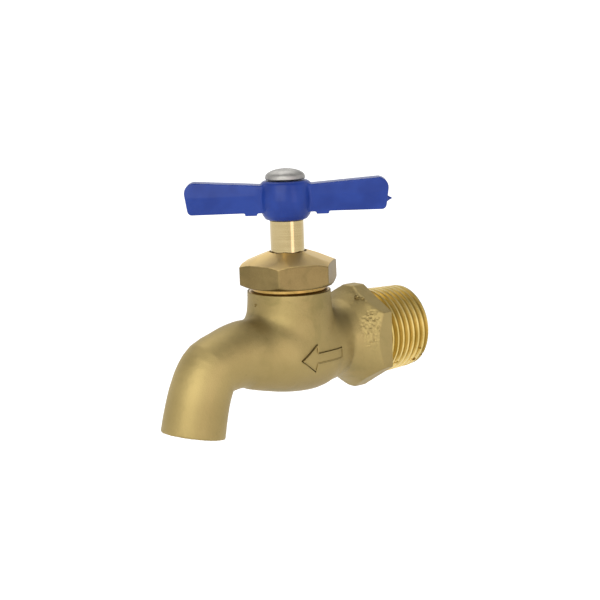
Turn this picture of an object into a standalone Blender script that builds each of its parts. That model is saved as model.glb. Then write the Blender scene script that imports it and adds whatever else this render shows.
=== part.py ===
"""Plain-spout hose bib with a T-handle: a cast brass globe body, its packing nut and
stem seal, a rising threaded stem with a loose jumper disc, and the handle with its screw.

Frame: origin at the centre of the inlet thread's end face, +Y out of the inlet towards
the pipe, +Z up, spout towards -Y. Metres.
"""
import math

import bmesh
import bpy
from mathutils import Matrix, Vector

mm = 0.001
GAP = 0.3 * mm                      # between pieces that touch on the real object

# driving dimensions
STEM_OFFSET = 37.2 * mm             # inlet end face to stem axis
HANDLE_ANGLE = math.radians(50.6)   # where the handle stands when the valve is shut

# inlet: 1/2-14 taper pipe thread and its hexagon
PIPE_PITCH = 25.4 / 14 * mm
PIPE_TAPER = 1 / 32                 # radius gained per length
PIPE_CREST = 10.35 * mm             # crest radius at the end face
PIPE_ROOT = 9.15 * mm
PIPE_COLLAR = 1.0 * mm              # plain first crest behind the end chamfer
PIPE_LENGTH = 14.6 * mm
HEX_FLATS = 24.0 * mm
HEX_LENGTH = 2.6 * mm               # parallel part, at the corners
HEX_TOP, HEX_BOTTOM = 12.8 * mm, -13.2 * mm    # corners trimmed along the parting line
FLARE_LENGTH = 6.2 * mm
WAIST_RADIUS = 9.4 * mm
INLET_BORE = 6.5 * mm
INLET_BORE_END = 27.9 * mm          # depth of the bore from the end face

# bowl, neck and spout, measured from the stem axis
BOWL_RADIUS = 10.5 * mm
NECK_RADIUS = 9.85 * mm
NECK_SHOULDER = 13.3 * mm           # top of the cast neck
MACHINED_RADIUS = 9.4 * mm
MACHINED_TOP = 15.1 * mm
NECK_TOP = 18.8 * mm
NECK_THREAD_CREST = 9.05 * mm
NECK_THREAD_ROOT = 8.5 * mm
NECK_THREAD_PITCH = 1.27 * mm
OUTLET_Y, OUTLET_Z = -30.6 * mm, -16.8 * mm
OUTLET_TILT = math.radians(12.2)    # the outlet looks down and a little forward
OUTLET_RADIUS = 7.6 * mm
OUTLET_BORE = 5.8 * mm

# seat and waterways
SEAT_TOP = -1.0 * mm
SEAT_BORE = 3.5 * mm
SEAT_RIM = 4.6 * mm
CHAMBER_FLOOR = -2.0 * mm
CHAMBER_RADIUS = 6.6 * mm
CHAMBER_TOP = 5.0 * mm
STEM_THREAD_BORE = 6.1 * mm
PASSAGE_RADIUS = 2.8 * mm
PASSAGE_Z = -5.9 * mm
STUFFING_FLOOR = 14.5 * mm
STUFFING_RADIUS = 7.3 * mm

# packing nut
NUT_FLATS = 21.4 * mm
NUT_CORNER_ANGLE = math.radians(10.2)
NUT_BOTTOM = 15.4 * mm
NUT_TOP = 23.9 * mm
NUT_CONE_SLOPE = 0.437
NUT_MOUTH = 4.65 * mm
NUT_BORE = NECK_THREAD_CREST + GAP
NUT_CEILING = 19.4 * mm

# stem and jumper
STEM_RADIUS = 4.1 * mm
STEM_BOTTOM = 3.5 * mm
STEM_THREAD_TOP = 9.7 * mm
STEM_THREAD_CREST = 5.75 * mm
STEM_THREAD_ROOT = 4.9 * mm
STEM_THREAD_PITCH = 2.5 * mm
STEM_SHOULDER = 31.0 * mm
TANG_SIDE = 5.0 * mm
TANG_TOP = 38.3 * mm
SOCKET_RADIUS = 2.6 * mm
SOCKET_TOP = 8.0 * mm
WASHER_THICK = 2.4 * mm
WASHER_RADIUS = 5.4 * mm
HOLDER_THICK = 1.2 * mm
STUB_RADIUS = 2.3 * mm
STUB_TOP = 7.5 * mm

# handle
HUB_BOTTOM = 31.2 * mm
HUB_TOP = 40.6 * mm
HUB_RADIUS = 6.5 * mm
WING_REACH = 24.4 * mm
WING_BOTTOM = 33.2 * mm
WING_TOP_ROOT = 39.8 * mm
WING_TOP_TIP = 40.8 * mm
WING_THICK = 5.4 * mm
NUB_NEAR, NUB_FAR, NUB_DROP = 7.1 * mm, 10.0 * mm, 0.5 * mm

# handle screw
CAP_RADIUS = 4.8 * mm
CAP_RIM = 40.9 * mm
CAP_TOP = 43.5 * mm
SCREW_RADIUS = 1.9 * mm
SCREW_END = 30.6 * mm

SIDES = 32                          # round pieces
SMALL_SIDES = 20
ROUND_LIMIT = math.radians(35)      # edges sharper than this stay sharp
SKEW = math.radians(2.3)            # turns cutters, so no corner falls on another's edge

for old in list(bpy.data.objects):
    bpy.data.objects.remove(old, do_unlink=True)

parts = bpy.data.collections.new("hose_bib")
cutters = bpy.data.collections.new("cutters")
for group in (parts, cutters):
    bpy.context.scene.collection.children.link(group)

stem_axis = bpy.data.objects.new("stem_axis", None)
stem_axis.location = (0, -STEM_OFFSET, 0)
parts.objects.link(stem_axis)


# ---------------------------------------------------------------- helpers

def make_material(name, color, roughness, metallic):
    material = bpy.data.materials.new(name)
    material.use_nodes = True
    shader = material.node_tree.nodes["Principled BSDF"]
    shader.inputs["Base Color"].default_value = (*color, 1)
    shader.inputs["Roughness"].default_value = roughness
    shader.inputs["Metallic"].default_value = metallic
    return material


def place(obj, material=None, parent=stem_axis, rotation=(0, 0, 0)):
    """Link a part (with a material) or a cutter (without one)."""
    obj.parent = parent
    obj.rotation_euler = rotation
    if material:
        obj.data.materials.append(material)
        parts.objects.link(obj)
    else:
        obj.display_type = "WIRE"
        obj.hide_render = True
        cutters.objects.link(obj)
    return obj


def shade(mesh):
    mesh.shade_smooth()
    mesh.set_sharp_from_angle(angle=ROUND_LIMIT)


def from_bmesh(name, bm):
    mesh = bpy.data.meshes.new(name)
    bm.to_mesh(mesh)
    bm.free()
    shade(mesh)
    return bpy.data.objects.new(name, mesh)


def turned(name, profile, sides=SIDES, skew=0.0):
    """Revolve a closed-off (radius, height) outline, listed from top to bottom, about Z."""
    bm = bmesh.new()
    points = [bm.verts.new((radius * math.cos(skew), radius * math.sin(skew), height))
              for radius, height in profile]
    for upper, lower in zip(points, points[1:]):
        bm.edges.new((upper, lower))
    if profile[0][0] > 0:           # a ring: join the outline up
        bm.edges.new((points[-1], points[0]))
    obj = from_bmesh(name, bm)
    screw = obj.modifiers.new("turn", "SCREW")
    screw.steps = screw.render_steps = sides
    screw.use_merge_vertices = True
    screw.merge_threshold = 0.01 * mm
    screw.use_smooth_shade = True
    return obj


def disc_outline(radius, top, bottom):
    return [(0, top), (radius, top), (radius, bottom), (0, bottom)]


def ring_outline(outer, inner, top, bottom):
    return [(inner, top), (outer, top), (outer, bottom), (inner, bottom)]


def prism(name, sides, across_flats, bottom, top, corner_angle=0.0):
    """An upright regular prism with one corner at corner_angle from +X."""
    bm = bmesh.new()
    radius = across_flats / 2 / math.cos(math.pi / sides)
    bmesh.ops.create_cone(bm, cap_ends=True, segments=sides, depth=top - bottom,
                          radius1=radius, radius2=radius)
    first = next(iter(bm.verts))
    turn = corner_angle - math.atan2(first.co.y, first.co.x)
    bmesh.ops.rotate(bm, verts=bm.verts, matrix=Matrix.Rotation(turn, 3, "Z"))
    bmesh.ops.translate(bm, verts=bm.verts, vec=(0, 0, (top + bottom) / 2))
    return from_bmesh(name, bm)


def block(name, size, centre):
    bm = bmesh.new()
    bmesh.ops.create_cube(bm, size=1)
    bmesh.ops.scale(bm, verts=bm.verts, vec=size)
    bmesh.ops.translate(bm, verts=bm.verts, vec=centre)
    return from_bmesh(name, bm)


def thread_ridge(name, root, crest, pitch, bottom, top, taper=0.0, sides=SMALL_SIDES):
    """A V ridge wound upwards about Z; taper widens it below its top."""
    sunk = root - 0.25 * mm
    turns = (top - bottom - pitch) / pitch
    steps = round(turns * sides)
    outline = ((sunk, -0.46), (crest, -0.07), (crest, 0.07), (sunk, 0.46))
    start = bottom + pitch / 2
    bm = bmesh.new()
    loop = [bm.verts.new((radius, 0, start + share * pitch)) for radius, share in outline]
    edges = [bm.edges.new((loop[i - 1], loop[i])) for i in range(len(loop))]
    bmesh.ops.spin(bm, geom=loop + edges, cent=(0, 0, 0), axis=(0, 0, 1),
                   dvec=(0, 0, pitch / sides), angle=steps * 2 * math.pi / sides, steps=steps)
    ends = [edge for edge in bm.edges if edge.is_boundary]
    bmesh.ops.holes_fill(bm, edges=ends, sides=len(outline))
    bmesh.ops.recalc_face_normals(bm, faces=bm.faces)
    bmesh.ops.rotate(bm, verts=bm.verts, matrix=Matrix.Rotation(SKEW, 3, "Z"))
    for vert in bm.verts:
        radius = math.hypot(vert.co.x, vert.co.y)
        wider = 1 + taper * (top - vert.co.z) / radius
        vert.co.x *= wider
        vert.co.y *= wider
    return from_bmesh(name, bm)


def curve_to_mesh(curve_object, name):
    """Turn a curve into a closed mesh of the same place, so that Booleans can use it."""
    parts.objects.link(curve_object)
    bpy.context.view_layer.update()
    evaluated = curve_object.evaluated_get(bpy.context.evaluated_depsgraph_get())
    mesh = bpy.data.meshes.new_from_object(evaluated)
    bm = bmesh.new()
    bm.from_mesh(mesh)
    bmesh.ops.remove_doubles(bm, verts=bm.verts, dist=0.01 * mm)
    bmesh.ops.recalc_face_normals(bm, faces=bm.faces)
    bm.to_mesh(mesh)
    bm.free()
    shade(mesh)
    bpy.data.objects.remove(curve_object, do_unlink=True)
    return bpy.data.objects.new(name, mesh)


def tube(name, stations, resolution=6, sides=28):
    """A round tube in the YZ plane; a station is (y, z, heading, reach, radius).

    The heading is in degrees from +Y towards +Z, and reach the length of its two handles.
    """
    curve = bpy.data.curves.new(name, "CURVE")
    curve.dimensions = "3D"
    curve.bevel_depth = 1.0
    curve.bevel_resolution = sides // 2 - 2
    curve.use_fill_caps = True
    curve.resolution_u = resolution
    curve.twist_mode = "Z_UP"
    spline = curve.splines.new("BEZIER")
    spline.bezier_points.add(len(stations) - 1)
    for point, (y, z, heading, reach, radius) in zip(spline.bezier_points, stations):
        here = Vector((0, y, z))
        turn = math.radians(heading)
        ahead = Vector((0, math.cos(turn), math.sin(turn))) * reach
        point.handle_left_type = point.handle_right_type = "FREE"
        point.co, point.radius = here, radius
        point.handle_left, point.handle_right = here - ahead, here + ahead
    return curve_to_mesh(bpy.data.objects.new(name, curve), name)


def arc(centre, radius, start, end, count=5):
    """Points of a round corner, angles in degrees."""
    for i in range(count):
        angle = math.radians(start + (end - start) * i / (count - 1))
        yield (centre[0] + radius * math.cos(angle), centre[1] + radius * math.sin(angle))


def flat_shape(name, outline, thickness):
    """A flat outline in XZ, standing upright and centred on Y = 0."""
    curve = bpy.data.curves.new(name, "CURVE")
    curve.dimensions = "2D"
    curve.fill_mode = "BOTH"
    curve.extrude = thickness / 2
    spline = curve.splines.new("POLY")
    spline.points.add(len(outline) - 1)
    for point, (x, z) in zip(spline.points, outline):
        point.co = (x, z, 0, 1)
    spline.use_cyclic_u = True
    shape = curve_to_mesh(bpy.data.objects.new(name, curve), name)
    shape.data.transform(Matrix.Rotation(math.pi / 2, 4, "X"))
    return shape


def combine(target, operation, operand):
    modifier = target.modifiers.new(operand.name, "BOOLEAN")
    modifier.operation = operation
    modifier.solver = "EXACT"
    modifier.object = operand


# ---------------------------------------------------------------- valve body

# headings along the waterway, in degrees from +Y towards +Z
LEVEL = 180
OVER_SHOULDER = 170
INTO_ELBOW = 194
OUT_OF_SPOUT = 270 - math.degrees(OUTLET_TILT)


def past_outlet(distance):
    """A point beyond (or before) the outlet face, along the spout's end direction."""
    return (OUTLET_Y - distance * math.sin(OUTLET_TILT),
            OUTLET_Z - distance * math.cos(OUTLET_TILT))


def bowl_and_spout():
    return tube("bowl_and_spout", [
        (14.5 * mm, 0, LEVEL, 3.5 * mm, WAIST_RADIUS),
        (9.0 * mm, -0.3 * mm, LEVEL, 2.5 * mm, BOWL_RADIUS - 0.6 * mm),
        (3.5 * mm, -0.7 * mm, LEVEL, 3.0 * mm, BOWL_RADIUS - 0.3 * mm),
        (-5.0 * mm, 0.4 * mm, LEVEL, 3.5 * mm, BOWL_RADIUS),
        (-13.0 * mm, 0.3 * mm, OVER_SHOULDER, 3.5 * mm, 8.4 * mm),
        (-23.3 * mm, -1.0 * mm, INTO_ELBOW, 4.0 * mm, 7.25 * mm),
        (*past_outlet(0), OUT_OF_SPOUT, 5.0 * mm, OUTLET_RADIUS)])


def spout_waterway():
    return tube("spout_waterway", [
        (-4.2 * mm, 1.9 * mm, 190, 2.5 * mm, 4.2 * mm),
        (-13.0 * mm, 0.3 * mm, OVER_SHOULDER, 3.5 * mm, 5.9 * mm),
        (-23.3 * mm, -1.0 * mm, INTO_ELBOW, 4.0 * mm, 5.4 * mm),
        (*past_outlet(1.0 * mm), OUT_OF_SPOUT, 5.0 * mm, OUTLET_BORE)], sides=20)


def passage_under_seat():
    return tube("passage_under_seat", [
        (12.5 * mm, -2.4 * mm, 215, 1.5 * mm, PASSAGE_RADIUS),
        (7.0 * mm, PASSAGE_Z, LEVEL, 2.0 * mm, PASSAGE_RADIUS),
        (0, PASSAGE_Z, LEVEL, 2.0 * mm, PASSAGE_RADIUS)], resolution=3, sides=12)


def neck():
    return turned("neck", [
        (0, NECK_TOP),
        (NECK_THREAD_ROOT - 0.4 * mm, NECK_TOP),
        (NECK_THREAD_ROOT, NECK_TOP - 0.5 * mm),
        (NECK_THREAD_ROOT, MACHINED_TOP),
        (MACHINED_RADIUS, MACHINED_TOP),
        (MACHINED_RADIUS, NECK_SHOULDER + 0.5 * mm),
        (NECK_RADIUS, NECK_SHOULDER),
        (NECK_RADIUS, 11.0 * mm),
        (10.2 * mm, 6.5 * mm),
        (10.3 * mm, 1.0 * mm),
        (8.0 * mm, -5.0 * mm),
        (0, -7.0 * mm)])


def inlet():
    """Turned about Z with its end face at height 0, to be laid along +Y."""
    corner = HEX_FLATS / 2 / math.cos(math.pi / 6)
    hex_front = -PIPE_LENGTH - HEX_LENGTH
    flare_end = hex_front - FLARE_LENGTH
    return turned("inlet", [
        (0, 0),
        (PIPE_CREST - 0.5 * mm, 0),
        (PIPE_CREST, -0.5 * mm),
        (PIPE_CREST, -PIPE_COLLAR),
        (PIPE_ROOT, -PIPE_COLLAR - 0.5 * mm),
        (PIPE_ROOT + PIPE_TAPER * PIPE_LENGTH, -PIPE_LENGTH),
        (corner - 0.5 * mm, -PIPE_LENGTH),
        (corner, -PIPE_LENGTH - 0.4 * mm),
        (corner, hex_front),
        (11.9 * mm, hex_front - 1.8 * mm),
        (10.6 * mm, hex_front - 3.8 * mm),
        (WAIST_RADIUS, flare_end),
        (WAIST_RADIUS - 0.4 * mm, flare_end - 2.0 * mm),
        (0, flare_end - 2.0 * mm)])


def seat_and_neck_bores():
    return turned("seat_and_neck_bores", [
        (0, NECK_TOP + 1.0 * mm),
        (STUFFING_RADIUS, NECK_TOP + 1.0 * mm),
        (STUFFING_RADIUS, STUFFING_FLOOR),
        (STEM_THREAD_BORE, STUFFING_FLOOR),
        (STEM_THREAD_BORE, CHAMBER_TOP),
        (CHAMBER_RADIUS, CHAMBER_TOP - 0.5 * mm),
        (CHAMBER_RADIUS, CHAMBER_FLOOR),
        (SEAT_RIM + 0.4 * mm, CHAMBER_FLOOR),
        (SEAT_RIM, SEAT_TOP),
        (SEAT_BORE, SEAT_TOP),
        (SEAT_BORE, PASSAGE_Z + GAP),
        (0, PASSAGE_Z + GAP)], skew=SKEW)


def flow_arrow():
    """A raised arrow on the bowl's side, pointing to the spout."""
    reach, half = 6.0 * mm, 2.6 * mm
    outline = [(-reach, 0), (-reach + 3.4 * mm, -half), (-reach + 3.4 * mm, -0.9 * mm),
               (reach, -0.9 * mm), (reach, 0.9 * mm), (-reach + 3.4 * mm, 0.9 * mm),
               (-reach + 3.4 * mm, half)]
    arrow = flat_shape("flow_arrow", outline, 3.0 * mm)
    arrow.data.transform(Matrix.Rotation(math.pi / 2, 4, "Z"))
    arrow.data.transform(Matrix.Translation((BOWL_RADIUS - 1.1 * mm, 1.5 * mm, -1.0 * mm)))
    return arrow


def valve_body(material):
    along_pipe = (-math.pi / 2, 0, 0)
    inlet_part = place(inlet(), parent=None, rotation=along_pipe)
    hexagon = place(prism("inlet_hexagon", 6, HEX_FLATS, -40 * mm, 5 * mm, math.pi / 2),
                    parent=None, rotation=along_pipe)
    trim = place(block("parting_trim", (4 * BOWL_RADIUS, 0.1, HEX_TOP - HEX_BOTTOM),
                       (0, 0, (HEX_TOP + HEX_BOTTOM) / 2)), parent=None)
    combine(inlet_part, "INTERSECT", hexagon)
    combine(inlet_part, "INTERSECT", trim)
    ridge = thread_ridge("pipe_thread", PIPE_ROOT, PIPE_CREST, PIPE_PITCH,
                         -PIPE_LENGTH + 0.5 * mm, -0.6 * mm, PIPE_TAPER, 24)
    bore = turned("inlet_bore", disc_outline(INLET_BORE, 1 * mm, -INLET_BORE_END), 24,
                  SKEW)
    neck_ridge = thread_ridge("neck_thread", NECK_THREAD_ROOT, NECK_THREAD_CREST,
                              NECK_THREAD_PITCH, MACHINED_TOP, NECK_TOP - 0.4 * mm)

    body = place(bowl_and_spout(), material)
    body.name = "valve_body"
    for piece in (place(neck()), inlet_part, place(flow_arrow()), place(neck_ridge),
                  place(ridge, parent=None, rotation=along_pipe)):
        combine(body, "UNION", piece)
    for hollow in (place(seat_and_neck_bores()), place(spout_waterway()),
                   place(passage_under_seat()),
                   place(bore, parent=None, rotation=along_pipe)):
        combine(body, "DIFFERENCE", hollow)
    return body


# ---------------------------------------------------------------- nut and stem seal

def packing_nut(material):
    corner = NUT_FLATS / 2 / math.cos(math.pi / 6)
    edge_z = NUT_TOP - NUT_CONE_SLOPE * (corner + 0.2 * mm - NUT_MOUTH)
    nut = turned("packing_nut", [
        (NUT_MOUTH, NUT_TOP),
        (corner + 0.2 * mm, edge_z),
        (corner + 0.2 * mm, NUT_BOTTOM + 1.0 * mm),
        (NUT_FLATS / 2 - 0.1 * mm, NUT_BOTTOM),
        (NUT_BORE, NUT_BOTTOM),
        (NUT_BORE, NUT_CEILING),
        (NUT_MOUTH, NUT_CEILING)])
    hexagon = place(prism("nut_hexagon", 6, NUT_FLATS, NUT_BOTTOM - 1 * mm, NUT_TOP + 1 * mm,
                          NUT_CORNER_ANGLE))
    combine(nut, "INTERSECT", hexagon)
    return place(nut, material)


def packing_set(washer_material, packing_material, gland_material):
    """Washer, packing and follower that stand in the neck's stuffing box."""
    outer = STUFFING_RADIUS - GAP
    inner = STEM_RADIUS + GAP
    washer_top = STUFFING_FLOOR + GAP + 0.8 * mm
    packing_top = washer_top + GAP + 1.7 * mm
    gland_top = NUT_CEILING - GAP
    rings = (("packing_washer", washer_top, STUFFING_FLOOR + GAP, washer_material),
             ("packing_ring", packing_top, washer_top + GAP, packing_material),
             ("gland_ring", gland_top, packing_top + GAP, gland_material))
    for name, top, bottom, material in rings:
        place(turned(name, ring_outline(outer, inner, top, bottom), SMALL_SIDES), material)


# ---------------------------------------------------------------- stem and jumper

def stem(material):
    shaft = turned("stem", [
        (0, STEM_SHOULDER),
        (STEM_RADIUS, STEM_SHOULDER),
        (STEM_RADIUS, STEM_THREAD_TOP),
        (STEM_THREAD_ROOT, STEM_THREAD_TOP - 0.5 * mm),
        (STEM_THREAD_ROOT, STEM_BOTTOM),
        (0, STEM_BOTTOM)], 24)
    ridge = thread_ridge("stem_thread", STEM_THREAD_ROOT, STEM_THREAD_CREST,
                         STEM_THREAD_PITCH, STEM_BOTTOM, STEM_THREAD_TOP)
    tang = prism("stem_tang", 4, TANG_SIDE, STEM_SHOULDER - 1 * mm, TANG_TOP,
                 HANDLE_ANGLE + math.pi / 4)
    socket = turned("jumper_socket",
                    disc_outline(SOCKET_RADIUS, SOCKET_TOP, STEM_BOTTOM - 1 * mm), 16,
                    SKEW)
    tapped = turned("handle_screw_hole",
                    disc_outline(SCREW_RADIUS + GAP, TANG_TOP + 1 * mm, SCREW_END - 1 * mm), 16,
                    SKEW)
    for piece in (ridge, tang):
        combine(shaft, "UNION", place(piece))
    for hollow in (socket, tapped):
        combine(shaft, "DIFFERENCE", place(hollow))
    return place(shaft, material)


def jumper(holder_material, washer_material, screw_material):
    """The loose disc under the stem: holder with its stub, rubber washer, washer screw."""
    washer_bottom = SEAT_TOP + GAP
    washer_top = washer_bottom + WASHER_THICK
    holder_bottom = washer_top + GAP
    holder_top = holder_bottom + HOLDER_THICK
    shank = 1.2 * mm
    shank_top = 6.0 * mm
    holder = turned("washer_holder", [
        (0, STUB_TOP),
        (STUB_RADIUS, STUB_TOP),
        (STUB_RADIUS, holder_top),
        (WASHER_RADIUS - 0.1 * mm, holder_top),
        (WASHER_RADIUS - 0.1 * mm, holder_bottom),
        (shank + GAP, holder_bottom),
        (shank + GAP, shank_top + GAP),
        (0, shank_top + GAP)], SMALL_SIDES)
    place(holder, holder_material)
    place(turned("seat_washer", ring_outline(WASHER_RADIUS, shank + GAP, washer_top,
                                             washer_bottom), SMALL_SIDES), washer_material)
    head_top = washer_bottom - GAP
    screw = turned("washer_screw", [
        (0, shank_top),
        (shank, shank_top),
        (shank, head_top),
        (2.5 * mm, head_top),
        (2.5 * mm, head_top - 0.5 * mm),
        (1.8 * mm, head_top - 1.1 * mm),
        (0, head_top - 1.2 * mm)], 16)
    slot = block("washer_screw_slot", (6 * mm, 0.7 * mm, 1.2 * mm), (0, 0, head_top - 1.2 * mm))
    combine(screw, "DIFFERENCE", place(slot))
    place(screw, screw_material)


# ---------------------------------------------------------------- handle

def wing_outline():
    """Both wings as one outline; x runs along the handle."""
    upper, lower = 3.4 * mm, 1.6 * mm
    top_centre = (WING_REACH - upper, WING_TOP_TIP - upper)
    low_centre = (WING_REACH - 0.6 * mm - lower, WING_BOTTOM + lower)
    nub_bottom = WING_BOTTOM - NUB_DROP
    right = [(NUB_NEAR, WING_BOTTOM + 0.2 * mm), (NUB_NEAR, nub_bottom),
             (NUB_FAR, nub_bottom), (NUB_FAR, WING_BOTTOM + 0.1 * mm),
             *arc(low_centre, lower, -90, -10, 4),
             *arc(top_centre, upper, 0, 84, 6),
             (HUB_RADIUS, WING_TOP_ROOT)]
    left = [(-x, z) for x, z in reversed(right)]
    return right + left


def t_handle(material):
    hub = turned("t_handle", [
        (0, HUB_TOP),
        (5.3 * mm, HUB_TOP),
        (5.9 * mm, HUB_TOP - 0.4 * mm),
        (6.35 * mm, HUB_TOP - 2.2 * mm),
        (HUB_RADIUS, HUB_TOP - 4.6 * mm),
        (6.3 * mm, HUB_TOP - 6.6 * mm),
        (5.7 * mm, HUB_BOTTOM + 1.2 * mm),
        (4.5 * mm, HUB_BOTTOM),
        (0, HUB_BOTTOM)])
    spin = (0, 0, HANDLE_ANGLE)
    wings = flat_shape("wings", wing_outline(), WING_THICK)
    edge = wings.modifiers.new("soft_edges", "BEVEL")
    edge.width = 1.0 * mm
    edge.segments = 2
    edge.limit_method = "ANGLE"
    edge.angle_limit = math.radians(60)
    socket = prism("tang_socket", 4, TANG_SIDE + 2 * GAP, HUB_BOTTOM - 1 * mm,
                   TANG_TOP + 2 * GAP, HANDLE_ANGLE + math.pi / 4)
    hole = turned("cap_screw_hole",
                  disc_outline(SCREW_RADIUS + GAP, HUB_TOP + 1 * mm, TANG_TOP - 1 * mm), 16,
                  SKEW)
    combine(hub, "UNION", place(wings, rotation=spin))
    combine(hub, "DIFFERENCE", place(socket))
    combine(hub, "DIFFERENCE", place(hole))
    return place(hub, material)


def handle_screw(material):
    rise = CAP_TOP - CAP_RIM - 0.7 * mm
    dome = [(CAP_RADIUS * math.sin(angle), CAP_TOP - rise * (1 - math.cos(angle)))
            for angle in (math.radians(15 * i) for i in range(1, 6))]
    screw = turned("handle_screw", [
        (0, CAP_TOP),
        *dome,
        (CAP_RADIUS, CAP_RIM + 0.6 * mm),
        (CAP_RADIUS - 0.1 * mm, CAP_RIM),
        (SCREW_RADIUS, CAP_RIM),
        (SCREW_RADIUS, SCREW_END),
        (0, SCREW_END)], 24)
    for turn in (0, math.pi / 2):
        slot = block("recess", (4.6 * mm, 1.0 * mm, 2.4 * mm), (0, 0, CAP_TOP))
        combine(screw, "DIFFERENCE", place(slot, rotation=(0, 0, HANDLE_ANGLE + turn)))
    return place(screw, material)


valve_body(make_material("cast_brass", (0.52, 0.42, 0.20), 0.48, 1.0))
packing_nut(make_material("nut_brass", (0.50, 0.38, 0.18), 0.42, 1.0))
packing_set(make_material("washer_brass", (0.72, 0.56, 0.28), 0.35, 1.0),
            make_material("packing", (0.12, 0.12, 0.12), 0.8, 0.0),
            make_material("gland_brass", (0.75, 0.60, 0.30), 0.3, 1.0))
stem(make_material("stem_brass", (0.80, 0.66, 0.38), 0.22, 1.0))
jumper(make_material("holder_brass", (0.75, 0.60, 0.30), 0.3, 1.0),
       make_material("rubber", (0.03, 0.03, 0.03), 0.7, 0.0),
       make_material("screw_brass", (0.75, 0.60, 0.30), 0.3, 1.0))
t_handle(make_material("blue_coating", (0.02, 0.05, 0.45), 0.3, 0.0))
handle_screw(make_material("nickel", (0.62, 0.60, 0.56), 0.35, 1.0))
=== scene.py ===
import math

import bpy
from mathutils import Matrix, Vector, noise


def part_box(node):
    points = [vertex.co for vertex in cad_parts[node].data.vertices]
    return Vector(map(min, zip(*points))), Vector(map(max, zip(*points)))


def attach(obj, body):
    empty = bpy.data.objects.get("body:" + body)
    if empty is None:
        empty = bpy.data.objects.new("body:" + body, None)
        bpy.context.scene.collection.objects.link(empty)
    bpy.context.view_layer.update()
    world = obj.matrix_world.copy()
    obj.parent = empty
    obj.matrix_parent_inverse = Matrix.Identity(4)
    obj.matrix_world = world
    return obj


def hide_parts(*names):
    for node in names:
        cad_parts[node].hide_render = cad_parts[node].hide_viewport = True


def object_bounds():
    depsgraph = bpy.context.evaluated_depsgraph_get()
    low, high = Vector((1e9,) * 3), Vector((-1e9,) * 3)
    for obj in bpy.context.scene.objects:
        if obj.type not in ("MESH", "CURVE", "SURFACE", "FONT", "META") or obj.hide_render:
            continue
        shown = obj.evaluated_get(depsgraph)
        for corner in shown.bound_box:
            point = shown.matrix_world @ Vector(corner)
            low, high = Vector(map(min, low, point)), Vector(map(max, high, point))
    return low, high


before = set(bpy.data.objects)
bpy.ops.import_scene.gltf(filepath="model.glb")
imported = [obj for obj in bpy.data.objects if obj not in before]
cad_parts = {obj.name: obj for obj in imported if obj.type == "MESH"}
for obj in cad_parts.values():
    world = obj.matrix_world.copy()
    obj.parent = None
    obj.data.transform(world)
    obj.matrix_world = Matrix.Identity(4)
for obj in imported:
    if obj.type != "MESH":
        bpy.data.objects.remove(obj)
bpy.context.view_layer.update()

print("frame loaded,", len(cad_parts), "solids")

mm = 0.001
stemLow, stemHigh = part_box("stem")
nutLow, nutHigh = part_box("packing_nut")
stemY = (stemLow.y + stemHigh.y) / 2 / mm      # the stem's axis; lengths of pieces are in mm
handleTurn = math.radians(50.6)                # how the handle stands at rest
sharpFrom = math.radians(32)                   # a steeper edge than this is shaded sharp
mergeWithin = 0.002 * mm


# picking and tidying, as done by hand

def pickOnly(piece):
    bpy.ops.object.select_all(action="DESELECT")
    piece.select_set(True)
    bpy.context.view_layer.objects.active = piece


def nameIt(name):
    piece = bpy.context.active_object
    piece.name = piece.data.name = name
    bpy.ops.object.transform_apply(location=True, rotation=True, scale=True)
    return piece


def applyStack(piece):
    pickOnly(piece)
    for modifier in list(piece.modifiers):
        bpy.ops.object.modifier_apply(modifier=modifier.name)
    return piece


def closeShell():
    # from edit mode: joins doubles, turns every face outwards and leaves edit mode
    bpy.ops.mesh.select_all(action="SELECT")
    bpy.ops.mesh.remove_doubles(threshold=mergeWithin)
    bpy.ops.mesh.normals_make_consistent(inside=False)
    bpy.ops.object.mode_set(mode="OBJECT")


def move(piece, place=(0, 0, 0), turn=(0, 0, 0)):
    pickOnly(piece)
    piece.rotation_euler = turn
    piece.location = [value * mm for value in place]
    bpy.ops.object.transform_apply(location=True, rotation=True, scale=True)
    return piece


def cut(piece, *tools, how="DIFFERENCE"):
    for tool in tools:
        modifier = piece.modifiers.new(how.lower(), "BOOLEAN")
        modifier.operation = how
        modifier.solver = "MANIFOLD"
        modifier.object = tool
        applyStack(piece)
        bpy.data.objects.remove(tool)
    return piece


def join(piece, *others):
    return cut(piece, *others, how="UNION")


def copyOf(piece, name):
    pickOnly(piece)
    bpy.ops.object.duplicate()
    return nameIt(name)


# shapes

def turned(name, rings, sides=96):
    # rings of (radius, height) from the bottom up
    radius, height = rings[0]
    bpy.ops.object.select_all(action="DESELECT")
    bpy.ops.mesh.primitive_circle_add(vertices=sides, radius=radius * mm, location=(0, 0, height * mm),
                                      fill_type="NGON")
    piece = nameIt(name)
    bpy.ops.object.mode_set(mode="EDIT")
    for nextRadius, nextHeight in rings[1:]:
        bpy.ops.mesh.extrude_region_move(
            TRANSFORM_OT_translate={"value": (0, 0, (nextHeight - height) * mm)})
        grow = nextRadius / radius
        bpy.ops.transform.resize(value=(grow, grow, 1), center_override=(0, 0, nextHeight * mm))
        radius, height = nextRadius, nextHeight
    closeShell()
    return piece


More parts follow.
